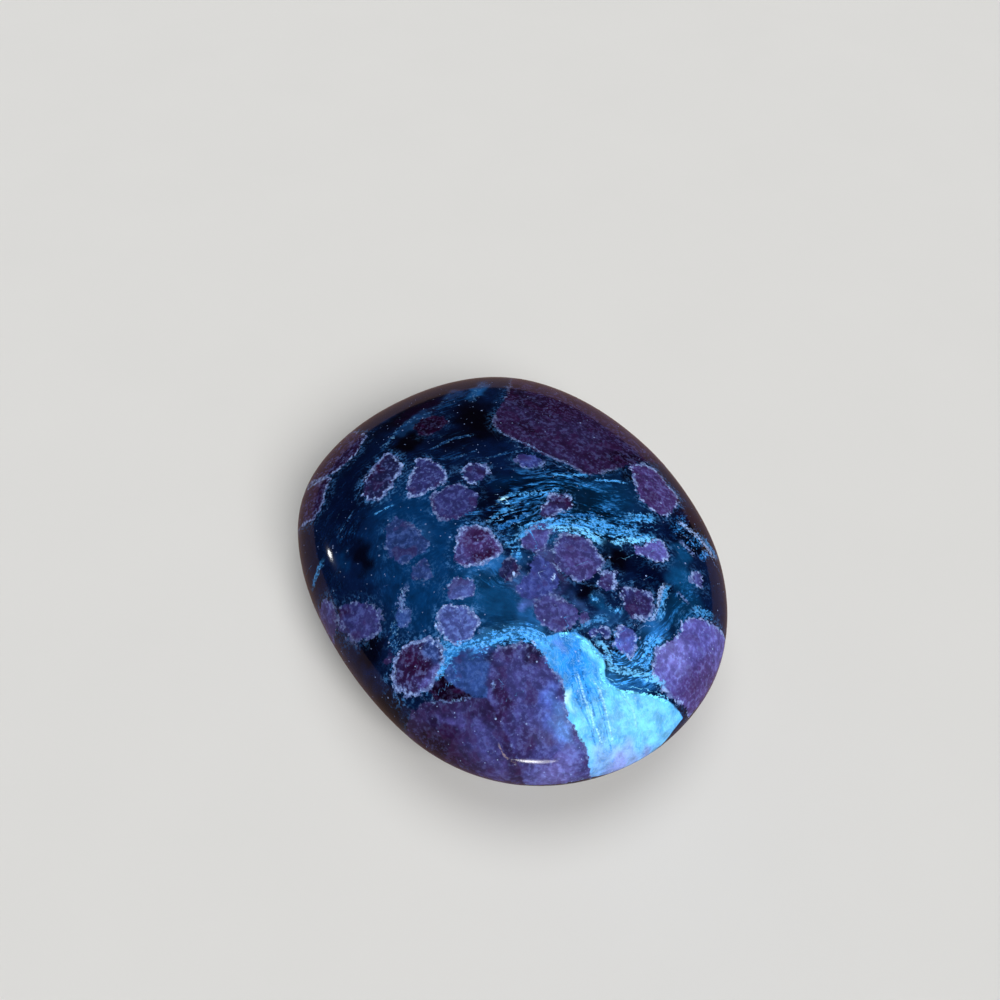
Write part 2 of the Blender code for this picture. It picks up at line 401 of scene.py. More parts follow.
STRANDS_AND_GLINTS = [Strand(*row) for row in (
    ("cyan", 0.85, 0.6, ((4.9, -0.6), (4.8, 1.6), (5.8, 4.2), (6.7, 7), (7.4, 9.6))),
    ("sky", 0.8, 0.3, ((5.4, 1), (5.9, 3.4), (7, 6), (7.6, 8.6), (8.2, 11))),
    ("blue", 0.7, 0.5, ((4.9, 5), (5.4, 7), (5.9, 8.8))),
    ("ice", 0.8, 0.7, ((5.8, 2.2), (6.4, 3.6), (7, 5), (7.8, 6), (9.6, 7.6))),
    ("cyan", 0.8, 0.5, ((8.2, 7.6), (8.5, 9.6), (9.1, 11.4), (9.8, 13.2))),
    ("ice", 0.9, 0.45, ((10.7, 9.6), (11, 11.6), (11.2, 13.6), (11.5, 15.2))),
    ("cyan", 0.8, 0.6, ((10.5, 12.6), (10.8, 14.8))),
    ("cyan", 0.85, 0.8, ((7.6, 14.2), (8.2, 16.4))),
    ("sky", 0.8, 0.25, ((0.3, 12.4), (0.9, 14.4), (1.6, 16.2))),
    ("cyan", 0.7, 0.3, ((-2.2, 7.2), (-1.5, 9), (-0.9, 11.2))),
    ("steel", 0.7, 0.18, ((-8.6, -0.4), (-8.4, 2.2), (-8, 4.8))),
    ("cyan", 0.9, 0.4, ((-0.9, 0), (-0.4, 2), (0.4, 4.4))),
    ("sky", 0.8, 0.4, ((0.1, 3.4), (0.5, 4.8), (0.4, 6))),
    ("cyan", 0.6, 0.35, ((1.2, -0.6), (1.3, -2.4), (2, -4.2))),
    ("blue", 0.7, 0.5, ((3, 0.6), (3.4, -1.4), (3.6, -3.4))),
    ("cyan", 0.7, 0.5, ((5.2, -0.6), (5.9, -2), (6.4, -3.6))),
    ("cyan", 0.8, 0.35, ((7.6, -2.6), (8.6, -3.1))),
    ("rim", 0.8, 0.22, ((-10.2, 5.2), (-8.6, 6.4), (-7, 7.2))),
    ("rim", 0.5, 0.15, ((-7, 7.2), (-5, 8.6), (-2.6, 10.6))),
    ("rim", 0.8, 0.35, ((-4.9, 6.6), (-4.5, 6.2))),
    ("rim", 0.4, 0.2, ((-14.6, 3.6), (-13, 3.7), (-11.6, 4.3))),
    ("steel", 0.55, 0.5, ((-27.2, 7), (-25.2, 5.2), (-22.4, 3.2))),
    ("steel", 0.3, 0.3, ((-25.8, 1), (-23.6, -1.4), (-22.2, -4), (-22, -6.4))),
    ("steel", 0.8, 0.4, ((-22.3, -6), (-21.2, -8.4), (-19.9, -9.9), (-18.2, -12.2))),
    ("steel", 0.6, 0.25, ((-14, -0.4), (-14.4, -3.6), (-13.8, -6.4))),
    ("steel", 0.6, 0.2, ((-10.6, -1.2), (-10.5, -4.6))),
    ("cyan", 0.7, 0.16, ((-6.7, -15), (-6.6, -17.2))),
    ("steel", 0.7, 0.15, ((-9, -19.8), (-8, -21.2), (-6.8, -22.8))),
    ("sky", 0.8, 0.9, ((17.8, -12.4), (17.6, -10.4), (18, -8), (19.4, -5.6), (21, -4.6))),
    ("sky", 0.6, 0.5, ((17.6, -8.4), (18.6, -5.4))),
    ("cyan", 0.8, 0.4, ((17, -13), (16.8, -15), (17.6, -16.6), (18.4, -18))),
    ("cyan", 0.6, 0.6, ((15.4, -15.8), (16.6, -15.6), (17.4, -16.6))),
    ("rim_lit", 0.55, 0.24, ((18.2, 13.1), (19, 12), (20.2, 11.3), (21.2, 10.2), (22, 9.4), (21.9, 8))),
    ("cyan", 0.65, 0.45, ((18.6, 13.4), (20.4, 11.8), (21.8, 10.4))),
    ("cyan", 0.4, 0.45, ((20.3, 3.4), (20.2, 1.2), (20.6, -0.8))),
    ("ice", 0.6, 0.5, ((26, 1.6), (27, 3.2), (28.2, 5.6), (29.2, 7))),
    ("ice", 0.6, 0.45, ((23, 1.4), (24, 1.9), (25.4, 1.6))),
    ("sky", 0.7, 0.6, ((24.4, 8.6), (25.2, 7), (27, 6))),
    ("rim_lit", 0.6, 0.45, ((9.4, 21.2), (11.4, 22.8), (13.8, 24.2))),
    ("rim", 0.7, 0.4, ((12.6, 19.4), (14.2, 20.2))),
    ("rim", 0.6, 0.18, ((19.6, 14.8), (20.8, 15.3))),
    ("blue", 0.9, 0.5, ((13.9, 22.9), (14.8, 21.4))),
    ("sky", 0.5, 0.8, ((12, 24), (13.4, 24.6))),
    ("cyan", 0.55, 0.6, ((21.8, 16), (22.5, 18))),
    ("cyan", 0.6, 0.4, ((-4.9, -26), (-3.9, -27.6))),
    ("rim", 0.5, 0.2, ((22.4, -15.6), (21.6, -17.8), (20.4, -19.6))),
    ("rim", 0.6, 0.5, ((6.4, -17.8), (7.6, -19), (8.8, -18.8))),
    ("steel", 0.9, 0.5, ((10, -20.6), (11.2, -21.4), (12.4, -21.4))),
    ("aqua", 0.9, 0.2, (
        (20.2, -2.6), (21, -1.1), (22.5, -0.1), (24.5, 0.6), (26.7, -0.1), (28, 0.7), (28.9, 2),
        (29.9, 4.6), (31.1, 6.9))),
    ("azure", 0.8, 0.2, ((22.4, -1.2), (24, -1.4), (25.6, -2.2), (27.6, -2.4), (30, -2.6))),
    ("azure", 0.7, 0.2, ((24.6, -3), (26.6, -4), (28.4, -3.9), (30.4, -3.6), (32.4, -3.6))),
    ("frost", 0.7, 0.16, ((25.4, -2.7), (27.4, -3), (29.6, -3), (32.6, -2.8))),
    ("azure", 0.7, 0.16, ((27.4, -1.4), (29.6, -1.4), (31.6, -1.8), (33.4, -1.8))),
    ("frost", 0.6, 0.16, ((26.6, -1.2), (28.4, -0.9), (30.6, -1.2), (32.8, -1.4))),
    ("frost", 0.35, 0.16, ((29.2, 1.4), (30.8, 2.2), (32.4, 2))),
    ("cyan", 0.9, 0.3, ((17.4, 3.2), (17.7, 3.4))),
    ("cyan", 0.9, 0.45, ((19.4, 4.8), (19.8, 5.4))),
    # Painted glints: small white highlights where the polish catches a light, drawn as short bright
    # strands.
    ("cream", 1.0, 0.28, ((-0.7, -0.9), (-0.7, -1.5))),
    ("rim_lit", 1.6, 0.22, ((12.9, -0.2), (13.3, -0.5))),
    ("rim_lit", 1.0, 0.16, ((10.6, -4.7), (10.9, -4.8))),
    ("rim_lit", 1.4, 0.2, ((19.9, -6.2), (20.2, -6.2))),
    ("rim_lit", 1.4, 0.2, ((12.7, -16.2), (13.2, -16.4))),
    ("tan", 0.5, 0.1, ((28.3, -14.2), (29.4, -13.9), (30.4, -13))),
    ("rim", 1.4, 0.22, ((22.3, -12.5), (22.6, -12.6))),
)]

# Which way the fibres run: where, and in which direction in degrees from +X.
FLOW = (
    (-26, 5, 128), (-24, 0, 125), (-22, -5, 118), (-19, -11, 125), (-12, -19, 135), (-4, -24, 165),
    (-18, 4, 110), (-13, -3, 96), (-8, 3, 86), (-4, 2, 80), (0, -3, 86), (2, 10, 74), (4, -2, 95),
    (8, 10, 70), (10, 13, 76), (1, 14, 70), (9, 20, 100), (13, 22, 115), (14, 17, 62), (18, 14, 100),
    (22, 12, 118), (22, 17, 105), (27, 3, 62), (24, 8, 110), (12, -8, 40), (17, -9, 80), (5, -19, 170),
)

# The map is of the upper face. Between these two heights, as shares of the thickness, it gives way
# to the invented sides and underside.
MAP_ENDS = 0.36
MAP_STARTS = 0.48

# The grains of the sides and the underside are scattered from a seed: how many there are, how high
# their middles may lie, their tints, their radii and how often each comes, how far apart they are
# as a share of their radii, and how far from the map's own grains.
SEED = 11
SCATTERED = 46
SCATTER_TRIES = 4000
SCATTERED_BELOW = 0.42
SCATTERED_TINTS = ("mauve", "plum", "dusk", "wine", "rose", "dusk", "haze", "lilac")
RADII = (1.2, 1.7, 2.3, 3.2, 4.6)
RADIUS_CHANCES = (0.2, 0.3, 0.25, 0.17, 0.08)
SPACING = 1.12
CLEARANCE = 1.5

# How far outside an outline depths are followed, and beside a strand in half-widths.
FAR = 4.0
STRAND_FAR = 6.0

# The fibres are led round the grains: how firmly, and how close to them.
LED = 0.8
LED_WITHIN = 1.1

# The grid on which the fibres' course is worked out. It is a little larger than the stone.
FLOW_STEP = 0.5
FLOW_HALF_LENGTH = 44.0
FLOW_HALF_WIDTH = 38.0

# Small helpers.


def decoded(share):
    """A screen's share of one colour as linear light."""
    return ((share + 0.055) / 1.055) ** 2.4 if share > 0.04 else share / 12.92


def linear(name):
    """A named tone as linear red, green and blue."""
    code = TONES[name]
    return tuple(decoded(int(code[place : place + 2], 16) / 255) for place in (1, 3, 5))


def smoothstep(values, low, high):
    """0 up to low, 1 from high on, and smooth between."""
    share = np.clip((values - low) / (high - low), 0.0, 1.0)
    return share * share * (3 - 2 * share)


def rounded(points, closed, steps=6):
    """A smooth curve through given points, as an array of points (Catmull-Rom)."""
    points = np.array(points, float)
    if closed:
        padded = np.concatenate([points[-1:], points, points[:2]])
    else:
        padded = np.concatenate([2 * points[:1] - points[1:2], points, 2 * points[-1:] - points[-2:-1]])
    share = np.arange(steps)[:, None] / steps
    spans = []
    for before, start, end, after in zip(padded[:-3], padded[1:-2], padded[2:-1], padded[3:]):
        spans.append(
            start
            + share * (end - before) / 2
            + share**2 * (before - 2.5 * start + 2 * end - after / 2)
            + share**3 * (1.5 * (start - end) + (after - before) / 2)
        )
    curve = np.concatenate(spans)
    return curve if closed else np.concatenate([curve, points[-1:]])


def distance_to(curve, closed, x, y):
    """How far each place is from a curve."""
    starts = curve if closed else curve[:-1]
    ends = np.roll(curve, -1, axis=0) if closed else curve[1:]
    run = ends - starts
    lengths = np.maximum((run**2).sum(axis=1), 1e-9)
    to_x = x[:, None] - starts[:, 0]
    to_y = y[:, None] - starts[:, 1]
    share = np.clip((to_x * run[:, 0] + to_y * run[:, 1]) / lengths, 0.0, 1.0)
    return np.hypot(to_x - share * run[:, 0], to_y - share * run[:, 1]).min(axis=1)


def inside(curve, x, y):
    """Whether each place is inside a closed curve, by counting the edges to its right."""
    ends = np.roll(curve, -1, axis=0)
    spans = (curve[:, 1] > y[:, None]) != (ends[:, 1] > y[:, None])
    rise = np.where(ends[:, 1] == curve[:, 1], 1e-9, ends[:, 1] - curve[:, 1])
    crossing = curve[:, 0] + (y[:, None] - curve[:, 1]) * (ends[:, 0] - curve[:, 0]) / rise
    return (spans & (crossing > x[:, None])).sum(axis=1) % 2 == 1


def near(curve, margin, x, y):
    """The places within a margin of a curve's box."""
    low, high = curve.min(axis=0) - margin, curve.max(axis=0) + margin
    return (x > low[0]) & (x < high[0]) & (y > low[1]) & (y < high[1])


def depth_in(outline, x, y):
    """How deep each place is inside a rounded outline, negative outside, down to -FAR."""
    curve = rounded(outline, closed=True)
    depth = np.full(x.shape, -FAR)
    close = near(curve, FAR, x, y)
    sign = np.where(inside(curve, x[close], y[close]), 1.0, -1.0)
    depth[close] = np.maximum(sign * distance_to(curve, True, x[close], y[close]), -FAR)
    return depth


def cover_of(soft_patch, x, y):
    """How much a soft patch covers each place. Its edge wanders a little."""
    angle = math.radians(soft_patch.degrees)
    from_x = x - soft_patch.x + 0.35 * np.sin(1.3 * y + 2.1 * x) + 0.2 * np.sin(3.1 * y - 1.7 * x)
    from_y = y - soft_patch.y + 0.35 * np.sin(1.7 * x - 1.1 * y) + 0.2 * np.sin(2.9 * x + 2.3 * y)
    along = from_x * math.cos(angle) + from_y * math.sin(angle)
    across = from_y * math.cos(angle) - from_x * math.sin(angle)
    reach = np.hypot(along / soft_patch.along, across / soft_patch.across)
    return soft_patch.strength * (1 - smoothstep(reach, 0.35, 1.35))


def one_tone(tone, points):
    """One tone for every point."""
    return np.tile(np.array(linear(tone)), (len(points), 1))


def paint(colours, cover, tint):
    """Lays a tint over colours, as much as cover says."""
    return colours + cover[:, None] * (np.array(linear(tint)) - colours)


def patched(colours, stains, x, y, share=1.0):
    """Lays a list of soft patches, stains and painted reflections, over colours, one after another."""
    for soft_patch in stains:
        colours = paint(colours, cover_of(soft_patch, x, y) * share, soft_patch.tint)
    return colours


# The pebble.


def finished(work, name):
    """A mesh for the scene, made of a bmesh."""
    mesh = bpy.data.meshes.new(name)
    work.to_mesh(mesh)
    work.free()
    return mesh


def cube_of_squares():
    """A new mesh: a cube from -1 to 1, with each side cut into GRID by GRID squares."""
    work = bmesh.new()
    bmesh.ops.create_cube(work, size=2.0)
    bmesh.ops.subdivide_edges(work, edges=work.edges[:], cuts=GRID - 1, use_grid_fill=True)
    return finished(work, "stone")


def points_of(mesh):
    """A mesh's vertices, one in a row."""
    points = np.empty(len(mesh.vertices) * 3)
    mesh.vertices.foreach_get("co", points)
    return points.reshape(-1, 3)


def pebble(cube):
    """The cube's points sent to the pebble's surface, in millimetres."""
    sphere = np.tan(cube * math.pi / 4)
    sphere /= np.linalg.norm(sphere, axis=1, keepdims=True)
    radius_squared = sphere[:, 0] ** 2 + sphere[:, 1] ** 2
    square = sphere[:, 2] ** 2 + (1 - FLATTENING) * radius_squared
    fourth = FLATTENING * radius_squared**2
    dome = sphere * np.sqrt(2 / (square + np.sqrt(square**2 + 4 * fourth)))[:, None]
    mirrored = dome[:, 0] - 1j * dome[:, 1]
    corners = THREE_CORNERS * mirrored**2 + FOUR_CORNERS * mirrored**3 + FIVE_CORNERS * mirrored**4
    share = np.where(dome[:, 2] < 0, UNDERSIDE_SHARE, 1 - UNDERSIDE_SHARE)
    reach = HALF_FOOT / HALF_LENGTH
    depth = math.sqrt(1 - (1 - FLATTENING) * reach**2 - FLATTENING * reach**4)
    foot = -THICKNESS * UNDERSIDE_SHARE * depth
    return np.stack(
        [
            HALF_LENGTH * (dome[:, 0] + corners.real),
            HALF_WIDTH * dome[:, 1] + HALF_LENGTH * corners.imag,
            np.maximum(THICKNESS * share * dome[:, 2], foot),
        ],
        axis=1,
    )


def fitted(points, low, high):
    """The points, stretched the last fraction of a millimetre to fill a box exactly."""
    least, most = points.min(axis=0), points.max(axis=0)
    return low + (points - least) * (high - low) / (most - least)


def swells(points):
    """A smooth, shallow unevenness, mostly between -1 and 1."""
    rng = np.random.default_rng(SEED)
    total = np.zeros(len(points))
    for _ in range(SWELL_WAVES):
        direction = rng.normal(size=3)
        direction /= np.linalg.norm(direction)
        length = SWELL_LENGTH * rng.uniform(0.7, 1.6)
        total += np.sin(points @ direction * 2 * math.pi / length + rng.uniform(0, 2 * math.pi))
    return total / math.sqrt(SWELL_WAVES)


# What the polish cuts through, worked out at every vertex.


def height_at(points, x, y):
    """The height of the stone's upper face at one place of its plan."""
    upper = points[points[:, 2] > THICKNESS / 2]
    return upper[np.argmin((upper[:, 0] - x) ** 2 + (upper[:, 1] - y) ** 2), 2]


def reaching(depth, points, floor, outline, reach):
    """A depth seen from above, ended where the grain stops inside the stone, on an uneven floor."""
    middle_x, middle_y = np.mean(outline, axis=0)
    lowest = height_at(points, middle_x, middle_y) - reach
    return np.maximum(np.minimum(depth, points[:, 2] + floor - lowest), -FAR)


def mapped_grains(points, floor):
    """How deep each vertex is in the map's nearest grain, and that grain's number."""
    deepest = np.full(len(points), -FAR)
    which = np.zeros(len(points), int)
    for number, grain in enumerate(GRAINS):
        depth = depth_in(grain.outline, points[:, 0], points[:, 1])
        depth = reaching(depth, points, floor, grain.outline, grain.reach)
        which[depth > deepest] = number
        deepest = np.maximum(deepest, depth)
    return deepest, which


def scattered_grains(points, mapped):
    """(depth, tint, rim) of seeded grains, where the map leaves the sides and the underside bare."""
    rng = np.random.default_rng(SEED)
    low = np.flatnonzero((points[:, 2] < SCATTERED_BELOW * THICKNESS) & (mapped < -CLEARANCE))
    taken = []
    depth = np.full(len(points), -FAR)
    tint = np.zeros((len(points), 3))
    rim = np.zeros(len(points))
    for _ in range(SCATTER_TRIES):
        centre = points[rng.choice(low)]
        radius = rng.choice(RADII, p=RADIUS_CHANCES)
        if any(np.linalg.norm(centre - other) < SPACING * (radius + size) for other, size in taken):
            continue
        if mapped[np.argmin(((points - centre) ** 2).sum(axis=1))] > -radius:
            continue
        taken.append((centre, radius))
        offset = points - centre
        axes = np.linalg.qr(rng.normal(size=(3, 3)))[0]
        offset = offset @ axes * rng.uniform(0.85, 1.3, size=3)
        distance = np.linalg.norm(offset, axis=1)
        facing = offset / np.maximum(distance, 1e-6)[:, None]
        knobs = rng.normal(size=(3, 3)) * 2.2
        lobed = radius * (1 + 0.09 * np.sin(facing @ knobs + rng.uniform(0, 6, size=3)).sum(axis=1))
        own = lobed - distance
        mine = own > depth
        tint[mine] = linear(SCATTERED_TINTS[rng.integers(len(SCATTERED_TINTS))])
        rim[mine] = rng.uniform(0.25, 0.95)
        depth = np.maximum(depth, own)
        if len(taken) == SCATTERED:
            break
    return depth, tint, rim


def direction_field(x, y, depth):
    """The fibres' direction: the listed directions, blended, and led round the grains."""
    weights = [1 / ((x - at_x) ** 2 + (y - at_y) ** 2 + 4.0) ** 1.5 for at_x, at_y, _ in FLOW]
    total = sum(weights)
    along_x = sum(w * math.cos(math.radians(turn)) for w, (_, _, turn) in zip(weights, FLOW)) / total
    along_y = sum(w * math.sin(math.radians(turn)) for w, (_, _, turn) in zip(weights, FLOW)) / total
    slope_y, slope_x = np.gradient(depth)
    steep = np.maximum(np.hypot(slope_x, slope_y), 1e-6)
    round_x, round_y = -slope_y / steep, slope_x / steep
    facing = np.sign(round_x * along_x + round_y * along_y)
    pull = LED * np.exp(-((np.minimum(depth, 0.0) / LED_WITHIN) ** 2)) * (steep > 0.05)
    along_x = (1 - pull) * along_x + pull * facing * round_x
    along_y = (1 - pull) * along_y + pull * facing * round_y
    size = np.maximum(np.hypot(along_x, along_y), 1e-6)
    return along_x / size, along_y / size


def potential(slope_x, slope_y, step):
    """The field whose slopes come nearest to those asked for, solved by Fourier series."""
    mean_x, mean_y = slope_x.mean(), slope_y.mean()
    rows, columns = slope_x.shape
    source = np.gradient(slope_y - mean_y, step, axis=0) + np.gradient(slope_x - mean_x, step, axis=1)
    mirrored = np.block([[source, source[:, ::-1]], [source[::-1], source[::-1, ::-1]]])
    wave_y = 2 * np.cos(2 * math.pi * np.fft.fftfreq(2 * rows)) - 2
    wave_x = 2 * np.cos(2 * math.pi * np.fft.fftfreq(2 * columns)) - 2
    curl = (wave_y[:, None] + wave_x[None, :]) / step**2
    curl[0, 0] = 1.0
    spectrum = np.fft.fft2(mirrored) / curl
    spectrum[0, 0] = 0.0
    field = np.fft.ifft2(spectrum).real[:rows, :columns]
    across = np.arange(columns) * step * mean_x
    up = np.arange(rows) * step * mean_y
    return field + across[None, :] + up[:, None]


def fibre_coordinates(points):
    """How far every vertex is along and across the fibres, with its height as the third number."""
    across = np.arange(-FLOW_HALF_LENGTH, FLOW_HALF_LENGTH, FLOW_STEP)
    up = np.arange(-FLOW_HALF_WIDTH, FLOW_HALF_WIDTH, FLOW_STEP)
    x, y = np.meshgrid(across, up)
    depth = np.full(x.size, -FAR)
    for grain in GRAINS:
        depth = np.maximum(depth, depth_in(grain.outline, x.ravel(), y.ravel()))
    along_x, along_y = direction_field(x, y, depth.reshape(x.shape))
    along = potential(along_x, along_y, FLOW_STEP)
    over = potential(along_y, -along_x, FLOW_STEP)
    column = (points[:, 0] - across[0]) / FLOW_STEP
    row = (points[:, 1] - up[0]) / FLOW_STEP
    left, below = column.astype(int), row.astype(int)
    right_share, top_share = column - left, row - below

    def read(field):
        lower = field[below, left] * (1 - right_share) + field[below, left + 1] * right_share
        upper = field[below + 1, left] * (1 - right_share) + field[below + 1, left + 1] * right_share
        return lower * (1 - top_share) + upper * top_share

    return np.stack([read(along), read(over), points[:, 2]], axis=1)


def hidden_tints(points):
    """(colour, fibrousness) of the rock of the sides and underside: slow, seeded changes."""
    rng = np.random.default_rng(SEED + 1)
    waves = []
    for length in (9.0, 11.0, 14.0):
        directions = rng.normal(size=(5, 3))
        directions /= np.linalg.norm(directions, axis=1, keepdims=True)
        phases = rng.uniform(0, 2 * math.pi, size=5)
        waves.append(np.sin(points @ directions.T * 2 * math.pi / length + phases).sum(axis=1) / 2.2)
    colours = paint(one_tone("navy", points), smoothstep(waves[0], 0.2, 1.6) * 0.9, "teal")
    colours = paint(colours, smoothstep(waves[1], 0.5, 1.8) * 0.9, "black")
    colours = paint(colours, smoothstep(waves[2], 0.9, 2.0) * 0.6, "steel")
    return colours, 0.25 + 0.6 * smoothstep(waves[2] - waves[1], 0.0, 2.0)


def beside(curve, x, y):
    """(across, beyond): each place's signed distance beside a curve, and how far past its ends."""
    starts, run = curve[:-1], curve[1:] - curve[:-1]
    length = np.hypot(run[:, 0], run[:, 1])
    run = run / length[:, None]
    to_x = x[:, None] - starts[:, 0]
    to_y = y[:, None] - starts[:, 1]
    along = to_x * run[:, 0] + to_y * run[:, 1]
    across = run[:, 0] * to_y - run[:, 1] * to_x
    missed = np.maximum(np.maximum(-along, along - length), 0.0)
    nearest = np.argmin(np.hypot(across, missed), axis=1)
    row = np.arange(len(x))
    before = np.where(nearest == 0, -along[row, nearest], 0.0)
    after = np.where(nearest == len(run) - 1, (along - length)[row, nearest], 0.0)
    return across[row, nearest], np.maximum(np.maximum(before, after), 0.0)


def strand_fields(x, y):
    """(reach, strength, tint) of the strand nearest to each place: how far its middle is in
    half-widths, how strongly it shows, and its colour."""
    reach = np.full(len(x), STRAND_FAR)
    strength = np.zeros(len(x))
    tint = np.zeros((len(x), 3))
    for strand in STRANDS_AND_GLINTS:
        curve = rounded(strand.points, closed=False)
        close = np.flatnonzero(near(curve, max(4 * strand.width, 1.2), x, y))
        across, beyond = beside(curve, x[close], y[close])
        own = across / strand.width
        free = STRAND_FAR * (strength[close] == 0)
        wins = np.abs(own) + beyond / strand.width < np.abs(reach[close]) + free
        chosen = close[wins]
        reach[chosen] = np.clip(own[wins], -STRAND_FAR, STRAND_FAR)
        strength[chosen] = strand.strength * np.exp(-((beyond[wins] / strand.width) ** 2))
        tint[chosen] = linear(strand.tint)
    return reach, strength, tint


def grain_fields(points, floor, on_map):
    """(depth, tint, rim) of the garnets: the map's above, the scattered ones below."""
    mapped, which = mapped_grains(points, floor)
    hidden, hidden_tint, hidden_rim = scattered_grains(points, mapped)
    tint = np.array([linear(grain.tint) for grain in GRAINS])[which]
    tint = patched(tint, GRAIN_STAINS_AND_REFLECTIONS, points[:, 0], points[:, 1], on_map)
    rim = np.array([grain.rim for grain in GRAINS])[which]
    hidden_wins = hidden > mapped
    tint[hidden_wins] = hidden_tint[hidden_wins]
    rim[hidden_wins] = hidden_rim[hidden_wins]
    return np.maximum(mapped, hidden), tint, rim


def rock_fields(points, on_map):
    """(colour, fibrousness) of the rock between the garnets."""
    x, y = points[:, 0], points[:, 1]
    rock = patched(one_tone("navy", points), ROCK_STAINS_AND_REFLECTIONS, x, y)
    fibrous = np.full(len(points), 0.12)
    for soft_patch in FIBROUS:
        fibrous = np.maximum(fibrous, cover_of(soft_patch, x, y))
    for soft_patch in ROCK_STAINS_AND_REFLECTIONS:
        if soft_patch.tint == "black":
            fibrous = fibrous * (1 - 0.9 * cover_of(soft_patch, x, y))
    below_rock, below_fibrous = hidden_tints(points)
    rock = below_rock + on_map[:, None] * (rock - below_rock)
    return rock, below_fibrous + on_map * (fibrous - below_fibrous)


def fields(points):
    """Everything the shader reads, by name, for every vertex."""
    x, y, z = points.T
    on_map = smoothstep(z, MAP_ENDS * THICKNESS, MAP_STARTS * THICKNESS)
    floor = FLOOR_WAVE * swells(points)
    grain, grain_tint, rim = grain_fields(points, floor, on_map)
    rock, fibrous = rock_fields(points, on_map)
    reach, strength, strand_tint = strand_fields(x, y)
    return {
        "grain": grain,
        "grain_tint": grain_tint,
        "rim": rim,
        "rock": rock,
        "fibrous": fibrous,
        "strand": np.stack([reach, strength * on_map, np.zeros(len(x))], axis=1),
        "strand_tint": strand_tint,
        "wedge": reaching(depth_in(WEDGE, x, y), points, floor, WEDGE, WEDGE_REACH),
        "wedge_tint": patched(one_tone("sky", points), WEDGE_STAINS_AND_REFLECTIONS, x, y),
        "fibre": fibre_coordinates(points),
    }


def store(mesh, name, values):
    """Keeps one field on the mesh's vertices, as a number, a vector or a colour."""
    if values.ndim == 1:
        mesh.attributes.new(name, "FLOAT", "POINT").data.foreach_set("value", values)
    elif name in ("fibre", "strand"):
        mesh.attributes.new(name, "FLOAT_VECTOR", "POINT").data.foreach_set("vector", values.ravel())
    else:
        colours = np.concatenate([values, np.ones((len(values), 1))], axis=1)
        mesh.attributes.new(name, "FLOAT_COLOR", "POINT").data.foreach_set("color", colours.ravel())


# The shader.

# Specks: cells in a millimetre, a speck's radius in cells, and how rarely a cell has one.
DUST = ((0.6, 0.10, 0.45), (1.3, 0.13, 0.50))

# The polish, and how deep its crumbs and pits are.
POLISH_IOR = 1.5
POLISH_SHINE = 0.4
RELIEF_STRENGTH = 0.3
RELIEF_HEIGHT = 0.02 * MM


class Graph:
    """Short names for the nodes of a material or of the room's light. Most return an output."""

    def __init__(self, tree):
        self.tree = tree
        tree.nodes.clear()

    def node(self, kind, **settings):
        made = self.tree.nodes.new(kind)
        for name, value in settings.items():
            setattr(made, name, value)
        return made

    def feed(self, socket, value):
        if isinstance(value, bpy.types.NodeSocket):
            self.tree.links.new(value, socket)
        elif isinstance(value, tuple) and len(value) == 3 and socket.type == "RGBA":
            socket.default_value = (*value, 1.0)
        else:
            socket.default_value = value

    def maths(self, operation, first, second=0.0):
        made = self.node("ShaderNodeMath", operation=operation)
        self.feed(made.inputs[0], first)
        self.feed(made.inputs[1], second)
        return made.outputs[0]

    def add(self, first, second):
        return self.maths("ADD", first, second)

    def times(self, first, second):
        return self.maths("MULTIPLY", first, second)

    def vector(self, operation, first, second):
        made = self.node("ShaderNodeVectorMath", operation=operation)
        self.feed(made.inputs[0], first)
        self.feed(made.inputs[1], second)
        return made.outputs["Value" if operation == "DOT_PRODUCT" else "Vector"]

    def noise(self, where, scale, detail=3.0, roughness=0.5):
        """Cloudy noise around 0.5. The scale is in lumps for a unit of length."""
        made = self.node("ShaderNodeTexNoise")
        self.feed(made.inputs["Vector"], where)
        self.feed(made.inputs["Scale"], scale)
        self.feed(made.inputs["Detail"], detail)
        self.feed(made.inputs["Roughness"], roughness)
        return made.outputs[0]

    def step(self, value, low, high):
        """0 up to low, 1 from high on, and smooth between. It falls instead where low is above high."""
        made = self.node("ShaderNodeMapRange", interpolation_type="SMOOTHSTEP")
        self.feed(made.inputs["Value"], value)
        self.feed(made.inputs["From Min"], low)
        self.feed(made.inputs["From Max"], high)
        return made.outputs[0]

    def spread(self, value, low, high):
        """A value from 0 to 1, sent to the range from low to high."""
        made = self.node("ShaderNodeMapRange")
        self.feed(made.inputs["Value"], value)
        self.feed(made.inputs["To Min"], low)
        self.feed(made.inputs["To Max"], high)
        return made.outputs[0]

    def mix(self, share, first, second):
        made = self.node("ShaderNodeMix", data_type="RGBA")
        self.feed(made.inputs[0], share)
        self.feed(made.inputs[6], first)
        self.feed(made.inputs[7], second)
        return made.outputs[2]

    def scaled(self, colour, amount):
        """A colour made brighter or darker."""
        made = self.node("ShaderNodeVectorMath", operation="SCALE")
        self.feed(made.inputs[0], colour)
        self.feed(made.inputs["Scale"], amount)
        return made.outputs["Vector"]

    def field(self, name, output="Fac"):
        """What fields() stored under a name."""
        return self.node("ShaderNodeAttribute", attribute_name=name).outputs[output]

    def finish(self, kind, shader):
        """Ends the tree with its output node."""
        self.feed(self.node(kind).inputs["Surface"], shader)


